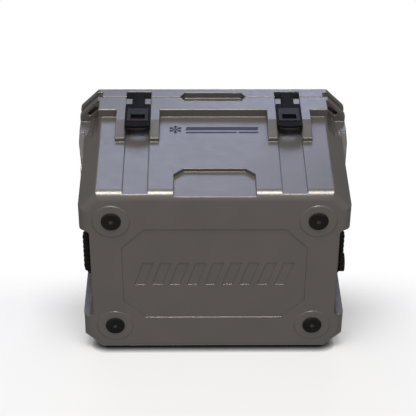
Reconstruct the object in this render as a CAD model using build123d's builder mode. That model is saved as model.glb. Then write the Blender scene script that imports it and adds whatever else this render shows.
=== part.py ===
"""Hard cooler on four rubber feet, with a hinged lid, stretch latches, end handles and a drain plug.

Millimetres, +Z up, the latches face -Y. The origin is the centre of the footprint, on the ground.
"""

import os
from math import sqrt

from build123d import *

os.makedirs("parts", exist_ok=True)

# ---------------------------------------------------------------- driving dimensions

# Levels, counted up from the ground
UNDERSIDE = 6.0
SEAM = 361.0
LID_BOTTOM = SEAM + 1.2
LID_TOP = 400.0
RIM_FRONT_BOTTOM = 304.0
RIM_SIDE_BOTTOM = 274.0
FLARE_BOTTOM = 175.0
CAVITY_FLOOR = 40.0

# Outlines: half widths, and front and back planes
RIM_HALF = 316.5
RIM_FRONT = -257.5
RIM_BACK = 245.0
RIM_CORNER = 43.5
BODY_HALF = 303.0
BODY_CORNER = 40.0
WALL_BOTTOM = 223.0
WALL_TOP = 237.0
CAVITY_HALF = 235.0
CAVITY_DEPTH = 182.0
CAVITY_RADIUS = 32.0

# Walls. The insulation's room is a plain form inside the skin, so the skin is thicker behind its hollows.
SKIN = 5.0
LINER = 4.0
REBATE = 4.0
CORE_HALF = 275.0
CORE_FRONT_LOW = -208.0
CORE_FRONT_HIGH = -224.0
CORE_CORNER = 55.0
RIM_CORE_FRONT = -233.5
RIM_CORE_CORNER = 95.0
FOAM_BOTTOM = 15.0

# Far enough out to cut clear of the body on any side, and a little past a face
CLEAR = 400.0
PAST = 1.0

# End pockets, one on each side
POCKET_WALL = 280.0
POCKET_HALF = 124.0
POCKET_REACH = 60.0
POCKET_RADIUS = 12.0

# Latches and their bays
LATCH_X = 176.0
LATCH_HALF = 28.7
BAY_HALF = 29.4
LEG_WIDTH = 21.0
LEG_BOTTOM = 203.0
LEG_BEND = 260.0
LEG_PROUD = 10.0
BAY_FLOOR = -246.0
EAR_FRONT = -254.3
EAR_BOTTOM = 329.0
EAR_TOP = 358.5
NECK_HALF = 13.2
LATCH_BACK = -255.3
LATCH_FRONT = -261.0
LATCH_PROUD = -262.5
LATCH_BOTTOM = 229.0
LATCH_SAG = 5.0
LATCH_SHOULDER = 323.0
LATCH_SLOT_HALF = 16.5
LATCH_SLOT_LOW = 254.0
LATCH_SLOT_HIGH = 275.0
PULL_LOW = 247.0
PULL_INSET = 4.5
BED_BOTTOM = 183.0
NECK_BACK = -250.0
NECK_BOTTOM = 301.0
TBAR_THICK = 15.0
TBAR_HEIGHT = 25.0
PIN_Y = -252.0
PIN_Z = 371.5
NOTCH_TOP = 385.0
NOTCH_BACK = -238.8
PIN_RADIUS = 2.5
PIN_GRIP = 8.0
RUNNING = 0.05
FIT = 0.2

# Lifting slot across the seam, and the panel low on the front
SLOT_TIP = 78.5
SLOT_FLAT = 67.0
SLOT_RISE = 19.0
SLOT_DEPTH = 15.0
PANEL_HALF = 91.0
PANEL_SHOULDER = 69.0
PANEL_LOW = 79.0
PANEL_HIGH = 100.0
PANEL_DEPTH = 9.0
STRIP_HALF = 27.8
STRIP_DEPTH = 4.5
SCOOP_HALF = 16.5
SCOOP_FLOOR = -229.0
SCOOP_LOW = 205.0
SCOOP_HIGH = 246.0
RAMP_TOP = 226.0
RAMP_BOTTOM = 196.0
FLARE_IN = 276.0

# Corner pockets under the rim, with a tie-down slot in the plate above each
PLATE_BOTTOM = 347.0
CORNER_IN = 269.0
CORNER_SIDE = 293.0
CORNER_DEPTH = 28.5
CORNER_BEND = 312.0
CORNER_BOTTOM = 258.0
CORNER_RAMP = 20.0
TAIL_DEPTH = 34.0
TAIL_WIDTH = 26.0
TAIL_BOTTOM = 252.0
FLARE_BEND = 313.0
FLARE_SLANT = 50.0
TIE_LENGTH = 30.0
TIE_WIDTH = 10.0
TIE_INSET = 13.0

# Rounding of the moulded edges
WALL_ROUND = 5.0
FOOT_ROUND = 20.0
RIM_ROUND = 6.0
EDGE_ROUND = 2.5
FLOOR_ROUND = 14.0

# Hinge
HINGE_Y = 254.1
HINGE_Z = SEAM
HINGE_ROD = 4.0
BARREL = 8.4
BARREL_BACK = HINGE_Y + BARREL
KNUCKLES = 9
HINGE_LENGTH = 400.0
KNUCKLE_GAP = 0.8
WEB_IN = 3.0
BODY_WEB_LOW = 322.0
BODY_WEB_HIGH = 354.0
LID_WEB_LOW = 368.0
LID_WEB_HIGH = 392.0
ROD_CHAMFER = 0.6

# Handles
BAIL_X = 292.0
BAIL_ROD = 4.0
BAIL_PIVOT = 250.0
BAIL_LOW = 96.0
BAIL_ARM = 68.0
BAIL_STUB = 98.0
BAIL_BENDS = [7.0, 12.0, 12.0, 7.0]
GRIP_CORE = 10.0
GRIP_RADIUS = 11.4
GRIP_HALF = 55.0
GRIP_END = 6.5
GRIP_TAPER = 3.0
RIBS = 7
RIB_PITCH = 13.6
RIB_WIDTH = 8.0
RIB_SLOPE = 1.0
BRACKET_IN = 77.0
BRACKET_OUT = 95.0
BRACKET_PLATE = 3.5
BRACKET_LOW = 230.0
BRACKET_HIGH = 270.0
BRACKET_BOSS = 8.0
BRACKET_SCREWS = [235.5, 264.5]
BRACKET_SHANK = 1.9
BRACKET_HEAD = 3.6
BRACKET_HEAD_THICK = 2.2

# Feet
FOOT_X = 230.0
FOOT_Y = 150.0
FOOT_RADIUS = 21.5
FOOT_SEAT = 9.0
BOSS_RADIUS = 42.0
BOSS_LEVEL = 4.0
FOOT_BOSS = 14.0
FOOT_BOSS_TOP = 28.0
BOSS_TAPER = 35.0
FOOT_ROUNDING = 1.5
SCREW = 2.5
SCREW_TOP = 24.0
SCREW_HEAD = 4.6
SCREW_HEAD_LOW = 0.8
SCREW_HEAD_TOP = 3.2
SCREW_WELL = 5.0
DRIVE_RADIUS = 1.6
DRIVE_TOP = 2.0

# Drain, low in the right end pocket
DRAIN_Z = 52.0
DRAIN_BORE = 8.0
DRAIN_TUBE = 11.0
DRAIN_FLANGE = 22.0
DRAIN_FLANGE_OUT = 284.0
FLANGE_CHAMFER = 1.0
DRAIN_IN = 236.0
PLUG_SHANK = 7.6
PLUG_HEAD = 22.0
PLUG_HEAD_IN = 287.6
PLUG_HEAD_OUT = 300.0
PLUG_NOTCHES = 10
PLUG_NOTCH = 4.0
PLUG_ROUND = 2.0
PLUG_BACK = 4.0
SEAL_PLAY = 0.5
SEAL_OUTER = 14.0

# Shallow eight-sided panel on the underside
PANEL_X = 209.0
PANEL_Y = 127.0
PANEL_CORNER = 51.0
UNDER_DEPTH = 2.0

# Flange of the liner, let into the casing's top
FLANGE_X = 290.0
FLANGE_Y = 222.0
FLANGE_RADIUS = 30.0

# Band of slanted bars sunk into the underside panel
MOTIF_BARS = 9
MOTIF_PITCH = 40.0
MOTIF_HEIGHT = 62.0
MOTIF_WIDTH = 24.0
MOTIF_SLANT = 10.0
MOTIF_DEPTH = 1.6

# Lid
LID_ROUND = 4.0
LID_LOWER_ROUND = 1.2
LID_PLATE_X = 272.0
LID_PLATE_Y = 228.0
LID_PLATE_RADIUS = 30.0
LID_PLUG_BOTTOM = 350.0
LID_PLUG_GAP = 5.0
LID_PLUG_ROUND = 3.0
LID_CORE_CORNER = 60.0
LID_GROOVE_DEPTH = 8.0
LID_GROOVE_TOP = 382.0
LID_PANEL_INSET = 40.0
LID_PANEL_DEPTH = 3.0
LID_CHANNEL_HALF = 32.0
LID_CHANNEL_DEPTH = 1.5
GASKET_X = 252.0
GASKET_Y = 199.0
GASKET_RADIUS = 38.0
GASKET_WIDTH = 8.0
GASKET_DEPTH = 2.5
GASKET_CLEAR = 0.3

# Outlines in (y, z) of the webs that carry the knuckles
BODY_WEB = [
    (RIM_BACK - WEB_IN, BODY_WEB_LOW),
    (RIM_BACK, BODY_WEB_LOW),
    (BARREL_BACK, BODY_WEB_HIGH),
    (BARREL_BACK, HINGE_Z),
    (RIM_BACK - WEB_IN, HINGE_Z),
]
LID_WEB = [
    (RIM_BACK - WEB_IN, LID_BOTTOM + PAST),
    (BARREL_BACK, LID_BOTTOM + PAST),
    (BARREL_BACK, LID_WEB_LOW),
    (RIM_BACK, LID_WEB_HIGH),
    (RIM_BACK - WEB_IN, LID_WEB_HIGH),
]

SIDES = {"left": -1, "right": 1}
ENDS = {"front": -1, "back": 1}

# The front wall leans out as it rises. Sketches on this plane run up the wall from the underside.
lean = WALL_TOP - WALL_BOTTOM
rise = RIM_FRONT_BOTTOM - UNDERSIDE
front_wall = Plane(
    origin=(0, -WALL_BOTTOM, UNDERSIDE), x_dir=(1, 0, 0), z_dir=(0, -rise, -lean)
)


# ---------------------------------------------------------------- shared shapes


def block(x, y, z, mode=Mode.ADD):
    """A box from its low and high limits on each axis."""
    centre = tuple((low + high) / 2 for low, high in (x, y, z))
    with Locations(centre):
        Box(x[1] - x[0], y[1] - y[0], z[1] - z[0], mode=mode)


def octagon(level, half, front, back, corner, radius=0.0):
    """A rectangle with four cut corners, rounded if a radius is given, on a level plane."""
    with BuildSketch(Plane.XY.offset(level)) as outline:
        with Locations((0, (front + back) / 2)):
            Rectangle(2 * half, back - front)
        chamfer(outline.vertices(), corner)
        if radius:
            fillet(outline.vertices(), radius)
    return outline.sketch


def rounded(level, half_x, half_y, radius):
    """A rounded rectangle about the origin, on a level plane."""
    with BuildSketch(Plane.XY.offset(level)) as outline:
        RectangleRounded(2 * half_x, 2 * half_y, radius)
    return outline.sketch


def end_pockets():
    """Both hollows that the handles hang in, open at the underside and at their ends."""
    for side in SIDES.values():
        with BuildSketch(Plane.XY.offset(-PAST)) as plan:
            with Locations((side * (POCKET_WALL + POCKET_REACH / 2), 0)):
                RectangleRounded(POCKET_REACH, 2 * POCKET_HALF, POCKET_RADIUS)
            with Locations((side * (POCKET_WALL + POCKET_REACH), 0)):
                Rectangle(POCKET_REACH, 2 * POCKET_HALF)
        extrude(plan.sketch, amount=RIM_SIDE_BOTTOM + PAST, mode=Mode.SUBTRACT)


def front_panel():
    """The hollow with cut upper corners, low in the middle of the front wall."""
    low = PANEL_LOW - UNDERSIDE
    high = PANEL_HIGH - UNDERSIDE
    with BuildSketch(front_wall.offset(-PANEL_DEPTH)) as outline:
        Polygon(
            (-PANEL_HALF, -low),
            (PANEL_HALF, -low),
            (PANEL_HALF, low),
            (PANEL_SHOULDER, high),
            (-PANEL_SHOULDER, high),
            (-PANEL_HALF, low),
            align=None,
        )
    extrude(outline.sketch, amount=CLEAR, mode=Mode.SUBTRACT)


def latch_strips():
    """Shallow vertical channels that run down the front wall from the latches."""
    with BuildSketch(front_wall.offset(-STRIP_DEPTH)) as outline:
        with Locations(*[(side * LATCH_X, 0) for side in SIDES.values()]):
            Rectangle(2 * STRIP_HALF, 2 * rise)
    extrude(outline.sketch, amount=CLEAR, mode=Mode.SUBTRACT)


def lifting_slot():
    """The six-sided finger slot across the seam."""
    with BuildSketch(Plane.XZ.offset(-RIM_FRONT - SLOT_DEPTH)) as outline:
        Polygon(
            (-SLOT_TIP, SEAM),
            (-SLOT_FLAT, SEAM - SLOT_RISE),
            (SLOT_FLAT, SEAM - SLOT_RISE),
            (SLOT_TIP, SEAM),
            (SLOT_FLAT, SEAM + SLOT_RISE),
            (-SLOT_FLAT, SEAM + SLOT_RISE),
            align=None,
        )
    extrude(outline.sketch, amount=SLOT_DEPTH + PAST, mode=Mode.SUBTRACT)


def corner_plane(side_x, side_y):
    """The plane of a cut rim corner: its middle at the seam, X along the cut, Z outwards."""
    y_face = RIM_FRONT if side_y < 0 else RIM_BACK
    centre = (side_x * (RIM_HALF - RIM_CORNER / 2), y_face - side_y * RIM_CORNER / 2, SEAM)
    outward = (side_x, side_y, 0)
    return Plane(origin=centre, x_dir=(-side_y, side_x, 0), z_dir=outward)


def corner_end(side_y):
    """How far from the middle the hollow at a rim corner reaches along the rim's side."""
    y_face = RIM_FRONT if side_y < 0 else RIM_BACK
    return RIM_HALF - RIM_CORNER + abs(y_face) - CORNER_DEPTH * sqrt(2) - CORNER_SIDE


def corner_pocket(side_x, side_y):
    """The hollow under a rim corner's plate, which ramps out to the body's cut corner."""
    face = corner_plane(side_x, side_y)
    section = Plane(origin=face.origin, x_dir=tuple(face.z_dir), z_dir=tuple(-face.x_dir))
    top, bend, bottom = PLATE_BOTTOM - SEAM, CORNER_BEND - SEAM, CORNER_BOTTOM - SEAM
    with BuildPart() as pocket:
        with BuildSketch(section) as outline:
            Polygon(
                (CORNER_DEPTH, top),
                (-CORNER_DEPTH, top),
                (-CORNER_DEPTH, bend),
                (-CORNER_RAMP, bottom),
                (CORNER_DEPTH, bottom),
                align=None,
            )
        extrude(outline.sketch, amount=RIM_CORNER, both=True)
        block(
            tuple(sorted((side_x * CORNER_IN, side_x * CLEAR))),
            tuple(sorted((side_y * corner_end(side_y), side_y * CLEAR))),
            (0, CLEAR),
            Mode.INTERSECT,
        )
    return pocket.part


def corner_tail(side_x, side_y):
    """The round-bottomed groove that runs down from a corner hollow."""
    top = PLATE_BOTTOM - SEAM
    low = TAIL_BOTTOM - SEAM + TAIL_WIDTH / 2
    with BuildSketch(corner_plane(side_x, side_y).offset(-TAIL_DEPTH)) as outline:
        with Locations((0, (top + low) / 2)):
            Rectangle(TAIL_WIDTH, top - low)
        with Locations((0, low)):
            Circle(TAIL_WIDTH / 2)
    extrude(outline.sketch, amount=2 * TAIL_DEPTH, mode=Mode.SUBTRACT)


def corner_pockets():
    """The hollows at all four rim corners."""
    for side_x in SIDES.values():
        for side_y in ENDS.values():
            add(corner_pocket(side_x, side_y), mode=Mode.SUBTRACT)
            corner_tail(side_x, side_y)


def tie_slots():
    """A slot down through each corner plate."""
    for side_x in SIDES.values():
        for side_y in ENDS.values():
            face = corner_plane(side_x, side_y)
            plate = Plane(
                origin=face.offset(-TIE_INSET).origin, x_dir=tuple(face.x_dir), z_dir=(0, 0, 1)
            )
            with BuildSketch(plate.offset(PAST)) as outline:
                SlotOverall(TIE_LENGTH, TIE_WIDTH)
            extrude(outline.sketch, amount=PLATE_BOTTOM - SEAM - 2 * PAST, mode=Mode.SUBTRACT)


def latch_bays():
    """The room behind and around both latches: below the keepers, between them and above them."""
    for side in SIDES.values():
        middle = side * LATCH_X
        bay = (middle - BAY_HALF, middle + BAY_HALF)
        neck = (middle - NECK_HALF - PAST, middle + NECK_HALF + PAST)
        scoop = (middle - SCOOP_HALF, middle + SCOOP_HALF)
        block(bay, (-CLEAR, EAR_FRONT), (BED_BOTTOM, SEAM + PAST), Mode.SUBTRACT)
        block(bay, (-CLEAR, BAY_FLOOR), (BED_BOTTOM, EAR_BOTTOM), Mode.SUBTRACT)
        block(neck, (-CLEAR, BAY_FLOOR), (EAR_BOTTOM - PAST, SEAM + PAST), Mode.SUBTRACT)
        block(bay, (-CLEAR, NOTCH_BACK), (EAR_TOP, SEAM + PAST), Mode.SUBTRACT)
        block(scoop, (-CLEAR, SCOOP_FLOOR), (SCOOP_LOW, SCOOP_HIGH), Mode.SUBTRACT)


def yz_prism(x_low, x_high, points, mode=Mode.ADD):
    """An outline drawn in (y, z), carried from x_low to x_high."""
    with BuildSketch(Plane.YZ.offset(x_low)) as outline:
        Polygon(*points, align=None)
    extrude(outline.sketch, amount=x_high - x_low, mode=mode)


def x_rod(radius, x_low, x_high, y, z, mode=Mode.ADD):
    """A round bar or hole along X."""
    with BuildSketch(Plane.YZ.offset(x_low)) as outline:
        with Locations((y, z)):
            Circle(radius)
    extrude(outline.sketch, amount=x_high - x_low, mode=mode)


def z_rod(radius, x, y, z_low, z_high, mode=Mode.ADD):
    """A round bar or hole along Z."""
    with BuildSketch(Plane.XY.offset(z_low)) as outline:
        with Locations((x, y)):
            Circle(radius)
    extrude(outline.sketch, amount=z_high - z_low, mode=mode)


def knuckles(first, web):
    """Every second hinge knuckle from the first, each with its web to the back plane."""
    pitch = HINGE_LENGTH / KNUCKLES
    for index in range(first, KNUCKLES, 2):
        low = -HINGE_LENGTH / 2 + index * pitch + KNUCKLE_GAP / 2
        high = low + pitch - KNUCKLE_GAP
        x_rod(BARREL, low, high, HINGE_Y, HINGE_Z)
        yz_prism(low, high, web)


def hinge_bore():
    """The hole for the rod through every knuckle."""
    x_rod(HINGE_ROD + RUNNING, -HINGE_LENGTH / 2, HINGE_LENGTH / 2, HINGE_Y, HINGE_Z, Mode.SUBTRACT)


def motif():
    """The band of slanted bars sunk into the underside panel."""
    half = MOTIF_WIDTH / 2
    top = MOTIF_HEIGHT / 2
    with BuildSketch(Plane.XY.offset(UNDERSIDE + UNDER_DEPTH - PAST)) as bars:
        with GridLocations(MOTIF_PITCH, 1, MOTIF_BARS, 1):
            Polygon(
                (-half - MOTIF_SLANT, top),
                (half - MOTIF_SLANT, top),
                (half + MOTIF_SLANT, -top),
                (-half + MOTIF_SLANT, -top),
                align=None,
            )
    extrude(bars.sketch, amount=MOTIF_DEPTH + PAST, mode=Mode.SUBTRACT)


def lid_notches():
    """The notches in the lid's lower front edge that hold the T-bars of the latches."""
    for side in SIDES.values():
        bay = (side * LATCH_X - BAY_HALF, side * LATCH_X + BAY_HALF)
        block(bay, (-CLEAR, NOTCH_BACK), (LID_BOTTOM - PAST, NOTCH_TOP), Mode.SUBTRACT)


def lid_grooves():
    """The undercut along the lid's lower edge at each cut corner."""
    for side_x in SIDES.values():
        for side_y in ENDS.values():
            with BuildSketch(corner_plane(side_x, side_y).offset(-LID_GROOVE_DEPTH)) as outline:
                Rectangle(4 * RIM_CORNER, 2 * (LID_GROOVE_TOP - SEAM))
            extrude(outline.sketch, amount=2 * LID_GROOVE_DEPTH, mode=Mode.SUBTRACT)


def latch_pin(side, clearance=0.0, mode=Mode.ADD):
    """The pin that a latch swings on, held in the lid at both sides of its notch."""
    reach = BAY_HALF + PIN_GRIP + clearance
    middle = side * LATCH_X
    x_rod(PIN_RADIUS + clearance, middle - reach, middle + reach, PIN_Y, PIN_Z, mode)


def gasket_ring(low, high, mode=Mode.ADD):
    """The sealing ring round the opening, or its groove, between two levels."""
    with BuildSketch(Plane.XY.offset(low)) as ring:
        RectangleRounded(2 * GASKET_X, 2 * GASKET_Y, GASKET_RADIUS)
        RectangleRounded(
            2 * (GASKET_X - GASKET_WIDTH),
            2 * (GASKET_Y - GASKET_WIDTH),
            GASKET_RADIUS - GASKET_WIDTH,
            mode=Mode.SUBTRACT,
        )
    extrude(ring.sketch, amount=high - low, mode=mode)


def y_rod(radius, x, z, span, mode=Mode.ADD):
    """A round bar or hole along Y, from span[0] to span[1]."""
    with BuildSketch(Plane.XZ.offset(-span[1])) as outline:
        with Locations((x, z)):
            Circle(radius)
    extrude(outline.sketch, amount=span[1] - span[0], mode=mode)


def x_screw(side, y, z, mode=Mode.ADD):
    """The shank of a bracket screw in the end wall on one side."""
    ends = sorted((side * (POCKET_WALL - SKIN + PAST), side * (POCKET_WALL + BRACKET_PLATE)))
    x_rod(BRACKET_SHANK, ends[0], ends[1], y, z, mode)


def save(part, name):
    """Labels a finished piece and writes it."""
    part.label = name
    export_step(part, f"parts/{name}.step")


# ---------------------------------------------------------------- body

# The rounded uprights and the rounded foot are made apart, because a tight round can't turn into a wide one.
with BuildPart() as uprights:
    low = octagon(UNDERSIDE, BODY_HALF, -WALL_BOTTOM, WALL_BOTTOM, BODY_CORNER, WALL_ROUND)
    high = octagon(RIM_FRONT_BOTTOM, BODY_HALF, -WALL_TOP, WALL_TOP, BODY_CORNER, WALL_ROUND)
    loft([low, high], ruled=True)
    extrude(high, amount=EDGE_ROUND + PAST)

with BuildPart() as wall_block:
    low = octagon(UNDERSIDE, BODY_HALF, -WALL_BOTTOM, WALL_BOTTOM, BODY_CORNER)
    high = octagon(RIM_FRONT_BOTTOM, BODY_HALF, -WALL_TOP, WALL_TOP, BODY_CORNER)
    loft([low, high])
    extrude(high, amount=EDGE_ROUND + PAST)
    fillet(wall_block.edges().group_by(Axis.Z)[0], FOOT_ROUND)
    add(uprights.part, mode=Mode.INTERSECT)

with BuildPart() as rim_block:
    plan = octagon(RIM_FRONT_BOTTOM, RIM_HALF, RIM_FRONT, RIM_BACK, RIM_CORNER, RIM_ROUND)
    extrude(plan, amount=SEAM - RIM_FRONT_BOTTOM)
    fillet(rim_block.edges().group_by(Axis.Z)[-1], EDGE_ROUND)
    fillet(rim_block.edges().group_by(Axis.Z)[0], EDGE_ROUND)

# The rim's ends reach lower than its front and flare into the corner columns.
with BuildPart() as flare_block:
    low = octagon(FLARE_BOTTOM, BODY_HALF, -WALL_TOP, WALL_TOP, BODY_CORNER, RIM_ROUND)
    high = octagon(RIM_SIDE_BOTTOM, RIM_HALF, RIM_FRONT, RIM_BACK, RIM_CORNER, RIM_ROUND)
    loft([low, high], ruled=True)
    extrude(high, amount=RIM_FRONT_BOTTOM + EDGE_ROUND + PAST - RIM_SIDE_BOTTOM)
    block((-FLARE_IN, FLARE_IN), (-CLEAR, CLEAR), (0, SEAM), Mode.SUBTRACT)
    for side_y in ENDS.values():
        end = corner_end(side_y)
        beyond = [
            (side_y * CLEAR, 0),
            (side_y * (end - FLARE_SLANT), 0),
            (side_y * (end - FLARE_SLANT), FLARE_BOTTOM),
            (side_y * end, FLARE_BEND),
            (side_y * end, SEAM),
            (side_y * CLEAR, SEAM),
        ]
        yz_prism(-CLEAR, CLEAR, beyond, Mode.SUBTRACT)

# Legs beside each latch, and the raised bed between them that ramps back to the wall.
with BuildPart() as latch_beds:
    leg_points = [
        (RIM_FRONT, RIM_FRONT_BOTTOM + EDGE_ROUND + PAST),
        (RIM_FRONT, LEG_BEND),
        (-WALL_BOTTOM - LEG_PROUD - lean * (LEG_BOTTOM - UNDERSIDE) / rise, LEG_BOTTOM),
        (-WALL_BOTTOM + SKIN, LEG_BOTTOM),
        (-WALL_BOTTOM + SKIN, RIM_FRONT_BOTTOM + EDGE_ROUND + PAST),
    ]
    bed_points = [
        (BAY_FLOOR, RIM_FRONT_BOTTOM + EDGE_ROUND + PAST),
        (BAY_FLOOR, RAMP_TOP),
        (-WALL_BOTTOM, RAMP_BOTTOM),
        (-WALL_BOTTOM + SKIN, RIM_FRONT_BOTTOM + EDGE_ROUND + PAST),
    ]
    for side in SIDES.values():
        for inner in (side * LATCH_X - BAY_HALF - LEG_WIDTH, side * LATCH_X + BAY_HALF):
            yz_prism(inner, inner + LEG_WIDTH, leg_points)
        yz_prism(side * LATCH_X - BAY_HALF - PAST, side * LATCH_X + BAY_HALF + PAST, bed_points)

# The room for the insulation, clear of every hollow, with posts left standing in it over the feet.
with BuildPart() as core_room:
    shoulder = RIM_FRONT_BOTTOM + SKIN
    low = octagon(FOAM_BOTTOM, CORE_HALF, CORE_FRONT_LOW, WALL_BOTTOM - SKIN, CORE_CORNER)
    high = octagon(shoulder, CORE_HALF, CORE_FRONT_HIGH, WALL_TOP - SKIN, CORE_CORNER)
    loft([low, high])
    plan = octagon(shoulder, RIM_HALF - SKIN, RIM_CORE_FRONT, RIM_BACK - SKIN, RIM_CORE_CORNER)
    extrude(plan, amount=SEAM - REBATE - shoulder)
    for side_x in SIDES.values():
        for side_y in ENDS.values():
            z_rod(FOOT_BOSS, side_x * FOOT_X, side_y * FOOT_Y, 0, FOOT_BOSS_TOP, Mode.SUBTRACT)

with BuildPart() as liner_outside:
    plan = rounded(
        CAVITY_FLOOR - LINER, CAVITY_HALF + LINER, CAVITY_DEPTH + LINER, CAVITY_RADIUS + LINER
    )
    extrude(plan, amount=SEAM - CAVITY_FLOOR + LINER)
    fillet(liner_outside.edges().group_by(Axis.Z)[0], FLOOR_ROUND + LINER)

with BuildPart() as tub_casing:
    add(wall_block.part)
    add(rim_block.part)
    add(flare_block.part)
    add(latch_beds.part)
    for side_x in SIDES.values():
        for side_y in ENDS.values():
            centre = (side_x * FOOT_X, side_y * FOOT_Y)
            with BuildSketch(Plane.XY.offset(UNDERSIDE + PAST)):
                with Locations(centre):
                    Circle(BOSS_RADIUS + PAST)
            extrude(amount=BOSS_LEVEL - UNDERSIDE - PAST, taper=BOSS_TAPER)
    end_pockets()
    front_panel()
    latch_strips()
    lifting_slot()
    corner_pockets()
    latch_bays()
    tie_slots()
    knuckles(0, BODY_WEB)
    hinge_bore()
    plan = octagon(UNDERSIDE, PANEL_X, -PANEL_Y, PANEL_Y, PANEL_CORNER)
    extrude(plan, amount=UNDER_DEPTH, mode=Mode.SUBTRACT)
    motif()
    for side_x in SIDES.values():
        for side_y in ENDS.values():
            x, y = side_x * FOOT_X, side_y * FOOT_Y
            z_rod(FOOT_RADIUS, x, y, 0, FOOT_SEAT, Mode.SUBTRACT)
            z_rod(SCREW, x, y, FOOT_SEAT - PAST, SCREW_TOP, Mode.SUBTRACT)
            for z in BRACKET_SCREWS:
                x_screw(side_x, side_y * (BRACKET_IN + BRACKET_OUT) / 2, z, Mode.SUBTRACT)
    add(core_room.part, mode=Mode.SUBTRACT)
    add(liner_outside.part, mode=Mode.SUBTRACT)
    extrude(rounded(SEAM - REBATE, FLANGE_X, FLANGE_Y, FLANGE_RADIUS), amount=REBATE, mode=Mode.SUBTRACT)
    x_rod(DRAIN_TUBE, CORE_HALF - PAST, POCKET_WALL + PAST, 0, DRAIN_Z, Mode.SUBTRACT)
save(tub_casing.part, "tub_casing")

# The insulation fills the room between the casing and the liner.
with BuildPart() as tub_foam:
    add(core_room.part)
    add(liner_outside.part, mode=Mode.SUBTRACT)
    x_rod(DRAIN_TUBE, CAVITY_HALF, POCKET_WALL, 0, DRAIN_Z, Mode.SUBTRACT)
save(tub_foam.part, "tub_foam")

with BuildPart() as cavity:
    extrude(rounded(CAVITY_FLOOR, CAVITY_HALF, CAVITY_DEPTH, CAVITY_RADIUS), amount=SEAM)
    fillet(cavity.edges().group_by(Axis.Z)[0], FLOOR_ROUND)

with BuildPart() as tub_liner:
    add(liner_outside.part)
    flange = rounded(SEAM - REBATE, FLANGE_X - FIT, FLANGE_Y - FIT, FLANGE_RADIUS - FIT)
    extrude(flange, amount=REBATE)
    add(cavity.part, mode=Mode.SUBTRACT)
    x_rod(DRAIN_TUBE, CAVITY_HALF - FLOOR_ROUND, CAVITY_HALF + LINER + PAST, 0, DRAIN_Z, Mode.SUBTRACT)
save(tub_liner.part, "tub_liner")

for end_name, side_y in ENDS.items():
    for side_name, side_x in SIDES.items():
        x, y = side_x * FOOT_X, side_y * FOOT_Y
        with BuildPart() as foot:
            z_rod(FOOT_RADIUS, x, y, 0, FOOT_SEAT)
            fillet(foot.edges().group_by(Axis.Z)[0], FOOT_ROUNDING)
            z_rod(SCREW, x, y, 0, FOOT_SEAT, Mode.SUBTRACT)
            z_rod(SCREW_WELL, x, y, 0, SCREW_HEAD_TOP, Mode.SUBTRACT)
        save(foot.part, f"foot_{end_name}_{side_name}")

with BuildPart() as foot_screws:
    for side_x in SIDES.values():
        for side_y in ENDS.values():
            x, y = side_x * FOOT_X, side_y * FOOT_Y
            z_rod(SCREW, x, y, SCREW_HEAD_TOP, SCREW_TOP)
            z_rod(SCREW_HEAD, x, y, SCREW_HEAD_LOW, SCREW_HEAD_TOP)
            z_rod(DRIVE_RADIUS, x, y, 0, DRIVE_TOP, Mode.SUBTRACT)
save(foot_screws.part, "foot_screws")

with BuildPart() as hinge_rod:
    x_rod(HINGE_ROD, -HINGE_LENGTH / 2, HINGE_LENGTH / 2, HINGE_Y, HINGE_Z)
    chamfer(hinge_rod.edges(), ROD_CHAMFER)
save(hinge_rod.part, "hinge_rod")

# ---------------------------------------------------------------- lid

with BuildPart() as lid_room:
    level = LID_BOTTOM + REBATE
    plan = octagon(level, RIM_HALF - SKIN, RIM_CORE_FRONT, RIM_BACK - SKIN, LID_CORE_CORNER)
    extrude(plan, amount=LID_TOP - LID_PANEL_DEPTH - SKIN - level)

with BuildPart() as lid_casing:
    plan = octagon(LID_BOTTOM, RIM_HALF, RIM_FRONT, RIM_BACK, RIM_CORNER, RIM_ROUND)
    extrude(plan, amount=LID_TOP - LID_BOTTOM)
    fillet(lid_casing.edges().group_by(Axis.Z)[-1], LID_ROUND)
    fillet(lid_casing.edges().group_by(Axis.Z)[0], LID_LOWER_ROUND)
    plan = octagon(
        LID_TOP - LID_PANEL_DEPTH,
        RIM_HALF - LID_PANEL_INSET,
        RIM_FRONT + LID_PANEL_INSET,
        RIM_BACK - LID_PANEL_INSET,
        RIM_CORNER,
        RIM_ROUND,
    )
    extrude(plan, amount=LID_PANEL_DEPTH, mode=Mode.SUBTRACT)
    block(
        (-LID_CHANNEL_HALF, LID_CHANNEL_HALF),
        (RIM_FRONT - PAST, RIM_FRONT + LID_PANEL_INSET + PAST),
        (LID_TOP - LID_CHANNEL_DEPTH, LID_TOP + PAST),
        Mode.SUBTRACT,
    )
    lifting_slot()
    lid_notches()
    lid_grooves()
    knuckles(1, LID_WEB)
    hinge_bore()
    for side in SIDES.values():
        latch_pin(side, RUNNING, Mode.SUBTRACT)
    add(lid_room.part, mode=Mode.SUBTRACT)
    plan = rounded(LID_BOTTOM, LID_PLATE_X, LID_PLATE_Y, LID_PLATE_RADIUS)
    extrude(plan, amount=REBATE, mode=Mode.SUBTRACT)
save(lid_casing.part, "lid_casing")

with BuildPart() as plug_inside:
    inner_x = CAVITY_HALF - LID_PLUG_GAP - LINER
    inner_y = CAVITY_DEPTH - LID_PLUG_GAP - LINER
    plan = rounded(LID_PLUG_BOTTOM + LINER, inner_x, inner_y, CAVITY_RADIUS - LID_PLUG_GAP - LINER)
    extrude(plan, amount=LID_BOTTOM + REBATE - LID_PLUG_BOTTOM - LINER)

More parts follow.
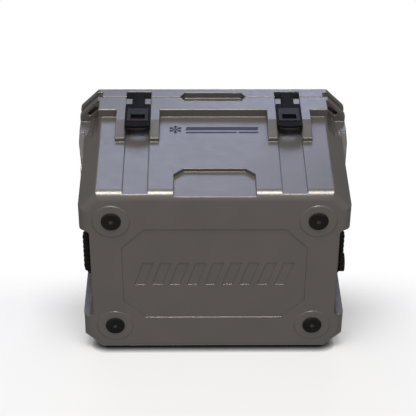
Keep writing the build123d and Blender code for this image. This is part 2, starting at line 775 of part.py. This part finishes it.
with BuildPart() as lid_liner:
    plan = rounded(LID_BOTTOM, LID_PLATE_X - FIT, LID_PLATE_Y - FIT, LID_PLATE_RADIUS - FIT)
    extrude(plan, amount=REBATE)
    plan = rounded(
        LID_PLUG_BOTTOM,
        CAVITY_HALF - LID_PLUG_GAP,
        CAVITY_DEPTH - LID_PLUG_GAP,
        CAVITY_RADIUS - LID_PLUG_GAP,
    )
    extrude(plan, amount=LID_BOTTOM - LID_PLUG_BOTTOM)
    fillet(lid_liner.edges().group_by(Axis.Z)[0], LID_PLUG_ROUND)
    add(plug_inside.part, mode=Mode.SUBTRACT)
    gasket_ring(LID_BOTTOM, LID_BOTTOM + GASKET_DEPTH, Mode.SUBTRACT)
save(lid_liner.part, "lid_liner")

with BuildPart() as lid_foam:
    add(lid_room.part)
    add(plug_inside.part)
save(lid_foam.part, "lid_foam")

with BuildPart() as lid_gasket:
    gasket_ring(SEAM + GASKET_CLEAR, LID_BOTTOM + GASKET_DEPTH)
save(lid_gasket.part, "lid_gasket")

# ---------------------------------------------------------------- latches

for name, side in SIDES.items():
    middle = side * LATCH_X
    with BuildPart() as latch:
        with BuildSketch(Plane.YZ.offset(middle - LATCH_HALF)):
            with Locations((PIN_Y, PIN_Z)):
                SlotOverall(TBAR_HEIGHT, TBAR_THICK, rotation=90)
        extrude(amount=2 * LATCH_HALF)
        with BuildSketch(Plane.XZ.offset(-LATCH_BACK)):
            with BuildLine():
                low_left = (middle - LATCH_HALF, LATCH_BOTTOM)
                low_right = (middle + LATCH_HALF, LATCH_BOTTOM)
                ThreePointArc(low_left, (middle, LATCH_BOTTOM - LATCH_SAG), low_right)
                Polyline(
                    low_right,
                    (middle + LATCH_HALF, LATCH_SHOULDER),
                    (middle - LATCH_HALF, LATCH_SHOULDER),
                    low_left,
                )
            make_face()
        extrude(amount=LATCH_BACK - LATCH_FRONT)
        proud = (LATCH_PROUD, LATCH_BACK - PAST)
        wide = (middle - LATCH_HALF, middle + LATCH_HALF)
        pull = (wide[0] + PULL_INSET, wide[1] - PULL_INSET)
        neck = (middle - NECK_HALF, middle + NECK_HALF)
        slot = (middle - LATCH_SLOT_HALF, middle + LATCH_SLOT_HALF)
        block(pull, proud, (PULL_LOW, NECK_BOTTOM))
        block(neck, (LATCH_PROUD, NECK_BACK), (EAR_BOTTOM - PAST, PIN_Z))
        block(neck, (LATCH_PROUD, LATCH_BACK), (NECK_BOTTOM, EAR_BOTTOM))
        block(slot, (-CLEAR, NECK_BACK), (LATCH_SLOT_LOW, LATCH_SLOT_HIGH), Mode.SUBTRACT)
        x_rod(PIN_RADIUS + RUNNING, wide[0], wide[1], PIN_Y, PIN_Z, Mode.SUBTRACT)
    save(latch.part, f"latch_{name}")

    with BuildPart() as pin:
        latch_pin(side)
    save(pin.part, f"latch_pin_{name}")

# ---------------------------------------------------------------- handles

for name, side in SIDES.items():
    bail_x = side * BAIL_X
    route = [
        (bail_x, -BAIL_STUB, BAIL_PIVOT),
        (bail_x, -BAIL_ARM, BAIL_PIVOT),
        (bail_x, -BAIL_ARM, BAIL_LOW),
        (bail_x, BAIL_ARM, BAIL_LOW),
        (bail_x, BAIL_ARM, BAIL_PIVOT),
        (bail_x, BAIL_STUB, BAIL_PIVOT),
    ]
    with BuildPart() as bail:
        with BuildLine():
            FilletPolyline(*route, radius=BAIL_BENDS)
        with BuildSketch(Plane(origin=route[0], z_dir=(0, 1, 0))):
            Circle(BAIL_ROD)
        sweep()
    save(bail.part, f"handle_bail_{name}")

    profile = [(-GRIP_HALF, BAIL_ROD), (-GRIP_HALF, GRIP_END), (-GRIP_HALF + GRIP_TAPER, GRIP_CORE)]
    for index in range(RIBS):
        centre = (index - (RIBS - 1) / 2) * RIB_PITCH
        low, high = centre - RIB_WIDTH / 2, centre + RIB_WIDTH / 2
        profile += [(low, GRIP_CORE), (low + RIB_SLOPE, GRIP_RADIUS)]
        profile += [(high - RIB_SLOPE, GRIP_RADIUS), (high, GRIP_CORE)]
    profile += [(GRIP_HALF - GRIP_TAPER, GRIP_CORE), (GRIP_HALF, GRIP_END), (GRIP_HALF, BAIL_ROD)]
    grip_plane = Plane(origin=(bail_x, 0, BAIL_LOW), x_dir=(0, 1, 0), z_dir=(1, 0, 0))
    with BuildPart() as grip:
        with BuildSketch(grip_plane):
            Polygon(*profile, align=None)
        revolve(axis=Axis((bail_x, 0, BAIL_LOW), (0, 1, 0)))
    save(grip.part, f"handle_grip_{name}")

    wall, plate = side * POCKET_WALL, side * (POCKET_WALL + BRACKET_PLATE)
    for end_name, end in ENDS.items():
        span = tuple(sorted((end * BRACKET_IN, end * BRACKET_OUT)))
        with BuildPart() as bracket:
            block(tuple(sorted((wall, plate))), span, (BRACKET_LOW, BRACKET_HIGH))
            boss = (BAIL_PIVOT - BRACKET_BOSS, BAIL_PIVOT + BRACKET_BOSS)
            block(tuple(sorted((wall, bail_x))), span, boss)
            y_rod(BRACKET_BOSS, bail_x, BAIL_PIVOT, span)
            y_rod(BAIL_ROD + RUNNING, bail_x, BAIL_PIVOT, span, Mode.SUBTRACT)
            for z in BRACKET_SCREWS:
                x_screw(side, sum(span) / 2, z, Mode.SUBTRACT)
        save(bracket.part, f"bail_bracket_{end_name}_{name}")

with BuildPart() as bracket_screws:
    for side in SIDES.values():
        face = side * (POCKET_WALL + BRACKET_PLATE)
        head = sorted((face, face + side * BRACKET_HEAD_THICK))
        for end in ENDS.values():
            for z in BRACKET_SCREWS:
                y = end * (BRACKET_IN + BRACKET_OUT) / 2
                x_screw(side, y, z)
                x_rod(BRACKET_HEAD, head[0], head[1], y, z)
save(bracket_screws.part, "bracket_screws")

# ---------------------------------------------------------------- drain

with BuildPart() as drain_fitting:
    x_rod(DRAIN_TUBE, DRAIN_IN, POCKET_WALL, 0, DRAIN_Z)
    x_rod(DRAIN_FLANGE, POCKET_WALL, DRAIN_FLANGE_OUT, 0, DRAIN_Z)
    chamfer(drain_fitting.edges().group_by(Axis.X)[-1], FLANGE_CHAMFER)
    x_rod(DRAIN_BORE, DRAIN_IN, DRAIN_FLANGE_OUT, 0, DRAIN_Z, Mode.SUBTRACT)
save(drain_fitting.part, "drain_fitting")

with BuildPart() as drain_seal:
    seal_in, seal_out = DRAIN_FLANGE_OUT + FIT, PLUG_HEAD_IN - FIT
    x_rod(SEAL_OUTER, seal_in, seal_out, 0, DRAIN_Z)
    x_rod(PLUG_SHANK + SEAL_PLAY, seal_in, seal_out, 0, DRAIN_Z, Mode.SUBTRACT)
save(drain_seal.part, "drain_seal")

with BuildPart() as drain_plug:
    x_rod(PLUG_SHANK, DRAIN_IN + PLUG_BACK, PLUG_HEAD_IN, 0, DRAIN_Z)
    x_rod(PLUG_HEAD, PLUG_HEAD_IN, PLUG_HEAD_OUT, 0, DRAIN_Z)
    fillet(drain_plug.edges().group_by(Axis.X)[-1], PLUG_ROUND)
    with BuildSketch(Plane.YZ.offset(PLUG_HEAD_IN)):
        with Locations((0, DRAIN_Z)):
            with PolarLocations(PLUG_HEAD + PLUG_NOTCH / 2, PLUG_NOTCHES):
                Circle(PLUG_NOTCH)
    extrude(amount=PLUG_HEAD_OUT - PLUG_HEAD_IN, mode=Mode.SUBTRACT)
save(drain_plug.part, "drain_plug")
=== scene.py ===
"""The looks of a hard cooler: its finishes, the print on its front, and the studio round it.

Metres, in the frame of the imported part: +Z up, the latches face -Y.
"""

import math

import bmesh
import bpy
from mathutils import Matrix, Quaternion, Vector
from mathutils.bvhtree import BVHTree


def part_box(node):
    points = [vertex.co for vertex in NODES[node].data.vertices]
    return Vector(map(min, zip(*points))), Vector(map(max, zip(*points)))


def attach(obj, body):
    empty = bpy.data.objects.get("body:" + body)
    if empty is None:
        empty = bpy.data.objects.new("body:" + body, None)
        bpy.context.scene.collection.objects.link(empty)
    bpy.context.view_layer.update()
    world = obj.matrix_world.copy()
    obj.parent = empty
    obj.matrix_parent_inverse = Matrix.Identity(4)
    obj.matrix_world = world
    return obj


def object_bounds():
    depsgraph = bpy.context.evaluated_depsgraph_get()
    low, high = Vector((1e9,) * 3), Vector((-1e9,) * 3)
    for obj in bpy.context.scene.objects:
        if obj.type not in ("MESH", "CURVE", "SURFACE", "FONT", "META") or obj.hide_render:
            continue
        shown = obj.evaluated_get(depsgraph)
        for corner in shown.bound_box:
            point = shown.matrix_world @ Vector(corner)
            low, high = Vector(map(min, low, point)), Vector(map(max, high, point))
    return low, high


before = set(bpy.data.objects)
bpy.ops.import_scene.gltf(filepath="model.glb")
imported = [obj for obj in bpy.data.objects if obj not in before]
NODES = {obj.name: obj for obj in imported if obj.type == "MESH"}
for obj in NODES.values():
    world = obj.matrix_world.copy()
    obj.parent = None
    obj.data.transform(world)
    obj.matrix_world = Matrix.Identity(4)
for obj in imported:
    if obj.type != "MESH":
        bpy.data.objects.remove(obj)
CAD_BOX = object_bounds()

# ---------------------------------------------------------------- camera and light

CAMERA_PLACE = Vector((-0.0547, -1.9211, -2.4251))
CAMERA_AIM = Vector((-0.0118, -0.0314, 0.2226))
CAMERA_ROLL = math.radians(-1.163)
LENS_MM = 117.6
SENSOR_MM = 36.0
NEAR_CLIP = 0.1
FAR_CLIP = 50.0

BACKDROP = (1.0, 1.0, 1.0)
FILL = (1.0, 0.95, 0.91)
FILL_BELOW = 0.78
FILL_ABOVE = 0.14
FLOOR = (0.374, 0.376, 0.379)
FLOOR_GLOW = 0.69
# reach in metres and steepness of the painted contact shadow on the stage floors
PAINTED_SHADOW_REACH = 0.021
PAINTED_SHADOW_DEPTH = 2.2
FLOOR_FADE = (0.16, 0.36)
FLOOR_HALF = 4.0
BEHIND_HALF = 3.0
BEHIND_ALONG = 2.0
BEHIND_DROP = 1.5
HINGE_CLEARANCE = 0.001
FOOT_BAND = 0.03

LIGHT_AIM = Vector((0, 0, 0.2))
# each softbox: its place, size, power in watts, colour, and roll about its own axis in degrees
SOFTBOXES = {
    "low_front": ((-0.1, -2.85, -0.55), (1.7, 1.4), 138, (1.0, 0.98, 0.95), 0),
    "sky": ((0.0, -2.35, 3.1), (4.0, 1.0), 57, (0.60, 0.69, 1.0), 40),
    "top": ((0.0, -0.2, 3.4), (2.4, 0.5), 30, (1.0, 0.98, 0.96), 0),
    "back_left": ((-0.9, 2.4, 3.4), (2.2, 2.0), 44, (1.0, 0.98, 0.96), 0),
}


def add_camera():
    """The camera, low in front and looking up at the underside, as in the photograph."""
    camera = bpy.data.objects.new("camera", bpy.data.cameras.new("camera"))
    bpy.context.scene.collection.objects.link(camera)
    camera.data.sensor_width = SENSOR_MM
    camera.data.lens = LENS_MM
    camera.data.clip_start = NEAR_CLIP
    camera.data.clip_end = FAR_CLIP
    camera.location = CAMERA_PLACE
    camera.rotation_mode = "QUATERNION"
    level = (CAMERA_AIM - CAMERA_PLACE).to_track_quat("-Z", "Y")
    camera.rotation_quaternion = level @ Quaternion((0, 0, 1), CAMERA_ROLL)
    bpy.context.scene.camera = camera


def softbox(name, place, size, watts, colour, roll):
    """A rectangular area light aimed at the middle of the object."""
    data = bpy.data.lights.new(name, "AREA")
    data.shape = "RECTANGLE"
    data.size, data.size_y = size
    data.energy = watts
    data.color = colour
    box = bpy.data.objects.new(name, data)
    bpy.context.scene.collection.objects.link(box)
    box.location = place
    box.rotation_mode = "QUATERNION"
    level = (LIGHT_AIM - Vector(place)).to_track_quat("-Z", "Y")
    box.rotation_quaternion = level @ Quaternion((0, 0, 1), math.radians(roll))


def add_world():
    """A white backdrop to the eye, and a dimmer fill, strongest from below, for the light that it gives."""
    world = bpy.data.worlds.new("studio")
    bpy.context.scene.world = world
    world.use_nodes = True
    nodes, links = world.node_tree.nodes, world.node_tree.links
    nodes.clear()
    seen = nodes.new("ShaderNodeBackground")
    seen.inputs["Color"].default_value = (*BACKDROP, 1)
    given = nodes.new("ShaderNodeBackground")
    given.inputs["Color"].default_value = (*FILL, 1)
    heading = nodes.new("ShaderNodeTexCoord")
    split = nodes.new("ShaderNodeSeparateXYZ")
    slope = nodes.new("ShaderNodeMapRange")
    slope.inputs["From Min"].default_value = -1.0
    slope.inputs["To Min"].default_value = FILL_BELOW
    slope.inputs["To Max"].default_value = FILL_ABOVE
    links.new(heading.outputs["Generated"], split.inputs[0])
    links.new(split.outputs["Z"], slope.inputs["Value"])
    links.new(slope.outputs[0], given.inputs["Strength"])
    path = nodes.new("ShaderNodeLightPath")
    mix = nodes.new("ShaderNodeMixShader")
    out = nodes.new("ShaderNodeOutputWorld")
    links.new(path.outputs["Is Camera Ray"], mix.inputs[0])
    links.new(given.outputs[0], mix.inputs[1])
    links.new(seen.outputs[0], mix.inputs[2])
    links.new(mix.outputs[0], out.inputs["Surface"])


def stage_plane(name, centre, across, along, fade_axis=None, fade=None):
    """One side of a pale sheet, seen only from that side, clear past the end of its fade, and with a painted
    contact shadow that darkens its colour and glow near the object.
    """
    across, along = Vector(across), Vector(along)
    corners = [Vector(centre) + i * across + j * along for i, j in ((-1, -1), (1, -1), (1, 1), (-1, 1))]
    mesh = bpy.data.meshes.new(name)
    mesh.from_pydata(corners, [], [(0, 1, 2, 3)])
    sheet = bpy.data.objects.new(name, mesh)
    bpy.context.scene.collection.objects.link(sheet)
    for flag in ("visible_diffuse", "visible_glossy", "visible_transmission", "visible_shadow"):
        setattr(sheet, flag, False)
    paint = bpy.data.materials.new(name)
    paint.use_nodes = True
    nodes, links = paint.node_tree.nodes, paint.node_tree.links
    nodes.clear()
    matt = nodes.new("ShaderNodeBsdfPrincipled")
    matt.inputs["Roughness"].default_value = 1.0
    matt.inputs["Specular IOR Level"].default_value = 0.0
    matt.inputs["Emission Strength"].default_value = FLOOR_GLOW
    # painted contact shadow: ambient occlusion darkens the floor's colour and its glow where the object comes
    # near
    painted_shadow = nodes.new("ShaderNodeAmbientOcclusion")
    painted_shadow.inputs["Distance"].default_value = PAINTED_SHADOW_REACH
    deepen = nodes.new("ShaderNodeMath")
    deepen.operation = "POWER"
    deepen.inputs[1].default_value = PAINTED_SHADOW_DEPTH
    shade = nodes.new("ShaderNodeVectorMath")
    shade.operation = "SCALE"
    shade.inputs[0].default_value = FLOOR
    links.new(painted_shadow.outputs["AO"], deepen.inputs[0])
    links.new(deepen.outputs[0], shade.inputs["Scale"])
    links.new(shade.outputs[0], matt.inputs["Base Color"])
    links.new(shade.outputs[0], matt.inputs["Emission Color"])
    clear = nodes.new("ShaderNodeBsdfTransparent")
    side = nodes.new("ShaderNodeNewGeometry")
    mix = nodes.new("ShaderNodeMixShader")
    out = nodes.new("ShaderNodeOutputMaterial")
    links.new(matt.outputs[0], mix.inputs[1])
    links.new(clear.outputs[0], mix.inputs[2])
    links.new(mix.outputs[0], out.inputs["Surface"])
    if fade_axis is None:
        links.new(side.outputs["Backfacing"], mix.inputs[0])
    else:
        split = nodes.new("ShaderNodeSeparateXYZ")
        ease = nodes.new("ShaderNodeMapRange")
        ease.interpolation_type = "SMOOTHSTEP"
        ease.inputs["From Min"].default_value = fade[0]
        ease.inputs["From Max"].default_value = fade[1]
        most = nodes.new("ShaderNodeMath")
        most.operation = "MAXIMUM"
        links.new(side.outputs["Position"], split.inputs[0])
        links.new(split.outputs[fade_axis], ease.inputs["Value"])
        links.new(ease.outputs[0], most.inputs[0])
        links.new(side.outputs["Backfacing"], most.inputs[1])
        links.new(most.outputs[0], mix.inputs[0])
    mesh.materials.append(paint)


def base_back():
    """How far back the tub reaches just above its foot."""
    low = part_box("tub_casing")[0].z
    near_foot = [v.co.y for v in NODES["tub_casing"].data.vertices if v.co.z < low + FOOT_BAND]
    return max(near_foot)


def add_studio():
    """The fill, the lights, a floor under the feet, and a floor that leans behind the tub."""
    add_world()
    low, high = CAD_BOX
    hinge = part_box("hinge_rod")
    back_foot = Vector((0, base_back(), low.z))
    back_hinge = Vector((0, high.y + HINGE_CLEARANCE, (hinge[0].z + hinge[1].z) / 2))
    slope = (back_hinge - back_foot).normalized()
    behind = back_foot - BEHIND_DROP * slope
    stage_plane("floor_behind", behind, (BEHIND_HALF, 0, 0), BEHIND_ALONG * slope, "Z", FLOOR_FADE)
    stage_plane("floor_below", (0, 0, low.z), (FLOOR_HALF, 0, 0), (0, FLOOR_HALF, 0))
    for name, (place, size, watts, colour, roll) in SOFTBOXES.items():
        softbox(name, place, size, watts, colour, roll)
    bpy.context.scene.view_settings.view_transform = "Standard"


# ---------------------------------------------------------------- finishes

LATCH_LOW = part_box("latch_left")[0]
LATCH_FACE = LATCH_LOW.y + 0.0005
LATCH_PULL_TOP = LATCH_LOW.z + 0.0772
SHEEN_FADE = 0.0003


class Finish:
    """A material under construction: a Principled shader and what drives it."""

    def __init__(self, name):
        self.material = bpy.data.materials.new(name)
        self.material.use_nodes = True
        self.tree = self.material.node_tree
        self.shader = self.tree.nodes["Principled BSDF"]
        self.place = self.node("ShaderNodeTexCoord").outputs["Object"]

    def node(self, kind, **settings):
        made = self.tree.nodes.new(kind)
        for key, value in settings.items():
            setattr(made, key, value)
        return made

    def link(self, source, target):
        self.tree.links.new(source, target)

    def set(self, **values):
        for key, value in values.items():
            socket = self.shader.inputs[key.replace("_", " ")]
            socket.default_value = (*value, 1) if isinstance(value, tuple) else value

    def noise(self, size, detail=2.0, roughness=0.5):
        """Noise whose features measure about size metres."""
        made = self.node("ShaderNodeTexNoise")
        made.inputs["Scale"].default_value = 1.0 / size
        made.inputs["Detail"].default_value = detail
        made.inputs["Roughness"].default_value = roughness
        self.link(self.place, made.inputs["Vector"])
        return made.outputs["Fac"]

    def cells(self, size):
        """Distance to the middle of cells that measure about size metres."""
        made = self.node("ShaderNodeTexVoronoi", feature="F1")
        made.inputs["Scale"].default_value = 1.0 / size
        self.link(self.place, made.inputs["Vector"])
        return made.outputs["Distance"]

    def below(self, source, limit):
        """One where source is below the limit, fading to nothing just under it."""
        made = self.node("ShaderNodeMapRange")
        made.inputs["From Min"].default_value = limit
        made.inputs["From Max"].default_value = limit - SHEEN_FADE
        self.link(source, made.inputs["Value"])
        return made.outputs[0]

    def ramp(self, source, low, high, between=(0.3, 0.7)):
        """A colour that goes from low to high as source crosses the given span."""
        made = self.node("ShaderNodeValToRGB")
        for stop, place, colour in zip(made.color_ramp.elements, between, (low, high)):
            stop.position = place
            stop.color = (*colour, 1)
        self.link(source, made.inputs[0])
        self.link(made.outputs[0], self.shader.inputs["Base Color"])

    def vary(self, socket, source, low, high, span=(0.3, 0.7)):
        """Takes a socket of the shader from low to high as source crosses the given span."""
        made = self.node("ShaderNodeMapRange")
        made.inputs["From Min"].default_value = span[0]
        made.inputs["From Max"].default_value = span[1]
        made.inputs["To Min"].default_value = low
        made.inputs["To Max"].default_value = high
        self.link(source, made.inputs["Value"])
        self.link(made.outputs[0], self.shader.inputs[socket])

    def bump(self, *layers, edge=None):
        """Layers of (height source, depth in metres), on edges softened to the radius edge."""
        normal = None
        if edge:
            soft = self.node("ShaderNodeBevel", samples=6)
            soft.inputs["Radius"].default_value = edge
            normal = soft.outputs[0]
        for source, depth in layers:
            made = self.node("ShaderNodeBump")
            made.inputs["Distance"].default_value = depth
            self.link(source, made.inputs["Height"])
            if normal:
                self.link(normal, made.inputs["Normal"])
            normal = made.outputs[0]
        self.link(normal, self.shader.inputs["Normal"])


def moulded_plastic(name, dark, light, gloss, metallic=0.0, edge=0.0012):
    """Rotomoulded polyethylene: soft mottling, a fine pebbled skin and a slow orange peel."""
    finish = Finish(name)
    finish.set(Metallic=metallic)
    finish.ramp(finish.noise(0.09, 3), dark, light)
    finish.vary("Roughness", finish.noise(0.02, 4, 0.6), *gloss)
    finish.bump((finish.noise(0.012, 2), 0.00012), (finish.noise(0.0011, 2), 0.00003), edge=edge)
    return finish.material


def rubber(name, dark, light, gloss, edge=0.0006, raised=None):
    """Rubber or black plastic, with more sheen in front of y = raised[0] and below z = raised[1]."""
    finish = Finish(name)
    if raised:
        place = finish.node("ShaderNodeSeparateXYZ")
        finish.link(finish.place, place.inputs[0])
        face = finish.node("ShaderNodeMath", operation="MULTIPLY")
        finish.link(finish.below(place.outputs["Y"], raised[0]), face.inputs[0])
        finish.link(finish.below(place.outputs["Z"], raised[1]), face.inputs[1])
        finish.vary("Specular IOR Level", face.outputs[0], 0.015, 0.12, (0, 1))
    else:
        finish.set(Specular_IOR_Level=0.06)
    finish.ramp(finish.noise(0.03, 4, 0.6), dark, light)
    finish.vary("Roughness", finish.noise(0.006, 3), *gloss)
    finish.bump((finish.noise(0.0009, 3), 0.00004), edge=edge)
    return finish.material


def steel(name, tint, gloss, coated=False):
    """Steel, bare with a fine grain or coated with a finer, duller skin."""
    finish = Finish(name)
    finish.set(Metallic=0.0 if coated else 1.0)
    finish.ramp(finish.noise(0.015, 4, 0.6), tuple(0.82 * c for c in tint), tint)
    finish.vary("Roughness", finish.noise(0.004, 3), *gloss)
    finish.bump((finish.noise(0.0006 if coated else 0.0015, 2), 0.00003), edge=0.0004)
    return finish.material


def foam(name):
    """Closed-cell foam, cream coloured, with its cells showing."""
    finish = Finish(name)
    finish.set(Roughness=0.9, Subsurface_Weight=0.1)
    finish.ramp(finish.noise(0.02, 4, 0.7), (0.62, 0.56, 0.40), (0.80, 0.74, 0.56))
    finish.bump((finish.cells(0.0018), 0.0003))
    return finish.material


def add_finishes():
    """Gives each CAD node its finish by the start of its name."""
    casing = moulded_plastic("casing", (0.101, 0.095, 0.090), (0.109, 0.102, 0.097), (0.3, 0.37), 0.6, 0.0033)
    liner = moulded_plastic("liner", (0.36, 0.365, 0.37), (0.42, 0.425, 0.43), (0.4, 0.5))
    black = rubber("black_plastic", (0.005, 0.005, 0.005), (0.009, 0.009, 0.009), (0.38, 0.5), 0.001)
    pull = (LATCH_FACE, LATCH_PULL_TOP)
    latch = rubber("latch_rubber", (0.004, 0.004, 0.0045), (0.006, 0.006, 0.007), (0.42, 0.55), raised=pull)
    foot = rubber("foot_rubber", (0.006, 0.006, 0.006), (0.011, 0.011, 0.011), (0.6, 0.78))
    grip = rubber("grip_rubber", (0.005, 0.005, 0.0055), (0.009, 0.009, 0.0095), (0.45, 0.6))
    seal = rubber("seal_rubber", (0.05, 0.05, 0.052), (0.075, 0.075, 0.078), (0.6, 0.75))
    bright = steel("steel", (0.55, 0.56, 0.57), (0.22, 0.36))
    coated = steel("black_steel", (0.02, 0.02, 0.021), (0.42, 0.55), coated=True)
    finished_nodes = {
        casing: ("tub_casing", "lid_casing"),
        liner: ("tub_liner", "lid_liner"),
        foam("foam"): ("tub_foam", "lid_foam"),
        black: ("drain_fitting", "drain_plug", "bail_bracket"),
        latch: ("latch_left", "latch_right"),
        foot: ("foot_front", "foot_back"),
        grip: ("handle_grip",),
        seal: ("lid_gasket", "drain_seal"),
        bright: ("bracket_screws", "hinge_rod", "latch_pin"),
        coated: ("handle_bail", "foot_screws"),
    }
    for material, starts in finished_nodes.items():
        for name, node in NODES.items():
            if name.startswith(starts):
                node.data.materials.clear()
                node.data.materials.append(material)


# ---------------------------------------------------------------- the print on the front

PRINT_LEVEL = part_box("tub_casing")[0].z + 0.248
PRINT_RIGHT = 0.104
PRINT_LEFT = -PRINT_RIGHT
PRINT_FILM = 0.0003
PRINT_SINK = PRINT_FILM / 3
RAY_START = -1.0

FLAKE_RADIUS = 0.0155
FLAKE_STROKE = 0.0032
FLAKE_ARMS = 6
FLAKE_TILT = 30
FLAKE_HUB = 0.1
# each pair of barbs: how far out along the arm it starts, and how long it is, as shares of the radius
FLAKE_BARBS = ((0.5, 0.34), (0.76, 0.24))
BARB_LEAN = math.radians(52)
BARB_STROKE = 0.7 * FLAKE_STROKE

BARS_START = 2.6 * FLAKE_RADIUS
BAR_SLANT = 0.25
UPPER_BAR = 0.0125
UPPER_BAR_RISE = 0.0035
LOWER_BAR = 0.0055
LOWER_BAR_DROP = 0.012
LOWER_BAR_GAP = (0.70, 0.73)


def stroke(outlines, start, end, width):
    """Adds the outline of a straight bar between two points of the print."""
    side = (end - start).normalized().orthogonal() * width / 2
    outlines.append([start - side, end - side, end + side, start + side])


def flake_outlines(middle):
    """A six-armed snowflake: each arm is a stem with two pairs of barbs."""
    outlines = []
    for arm in range(FLAKE_ARMS):
        turn = math.radians(360 / FLAKE_ARMS * arm + FLAKE_TILT)
        reach = FLAKE_RADIUS * Vector((math.cos(turn), math.sin(turn)))
        stroke(outlines, middle + FLAKE_HUB * reach, middle + reach, FLAKE_STROKE)
        for share, length in FLAKE_BARBS:
            root = middle + share * reach
            for side in (-1, 1):
                angle = turn + side * BARB_LEAN
                barb = length * FLAKE_RADIUS * Vector((math.cos(angle), math.sin(angle)))
                stroke(outlines, root, root + barb, BARB_STROKE)
    return outlines


def bar_outline(left, right, level, height):
    """A plain bar with slanted ends."""
    half = height / 2
    lean = BAR_SLANT * half
    return [
        Vector((left - lean, level - half)),
        Vector((right - lean, level - half)),
        Vector((right + lean, level + half)),
        Vector((left + lean, level + half)),
    ]


def add_print():
    """A generic mark laid on the front wall as a thin film of ink."""
    wall = NODES["tub_casing"].data
    tree = BVHTree.FromPolygons([v.co for v in wall.vertices], [p.vertices for p in wall.polygons])

    def on_wall(point, lift):
        """A point of the print, x across and y up, laid on the wall and lifted off it."""
        hit = tree.ray_cast(Vector((point.x, RAY_START, point.y)), Vector((0, 1, 0)))[0]
        return hit + Vector((0, -lift, 0))

    flake = Vector((PRINT_LEFT + FLAKE_RADIUS, PRINT_LEVEL))
    bars = PRINT_LEFT + BARS_START
    outlines = flake_outlines(flake)
    upper, lower = PRINT_LEVEL + UPPER_BAR_RISE, PRINT_LEVEL - LOWER_BAR_DROP
    gap_left, gap_right = (bars + share * (PRINT_RIGHT - bars) for share in LOWER_BAR_GAP)
    outlines.append(bar_outline(bars, PRINT_RIGHT, upper, UPPER_BAR))
    outlines.append(bar_outline(bars, gap_left, lower, LOWER_BAR))
    outlines.append(bar_outline(gap_right, PRINT_RIGHT, lower, LOWER_BAR))
    film = bmesh.new()
    for outline in outlines:
        inner = [film.verts.new(on_wall(point, -PRINT_SINK)) for point in outline]
        outer = [film.verts.new(on_wall(point, PRINT_FILM)) for point in outline]
        count = len(outline)
        film.faces.new(outer)
        film.faces.new(inner[::-1])
        for i in range(count):
            j = (i + 1) % count
            film.faces.new((inner[i], inner[j], outer[j], outer[i]))
    bmesh.ops.recalc_face_normals(film, faces=film.faces)
    mesh = bpy.data.meshes.new("front_print")
    film.to_mesh(mesh)
    film.free()
    ink = Finish("print_ink")
    ink.set(Specular_IOR_Level=0.25)
    ink.ramp(ink.noise(0.004, 3), (0.006, 0.008, 0.018), (0.010, 0.012, 0.025))
    ink.vary("Roughness", ink.noise(0.002, 3), 0.4, 0.55)
    ink.bump((ink.noise(0.0008, 2), 0.00002))
    mesh.materials.append(ink.material)
    piece = bpy.data.objects.new("front_print", mesh)
    bpy.context.scene.collection.objects.link(piece)
    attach(piece, "tub")


add_camera()
add_studio()
add_finishes()
add_print()
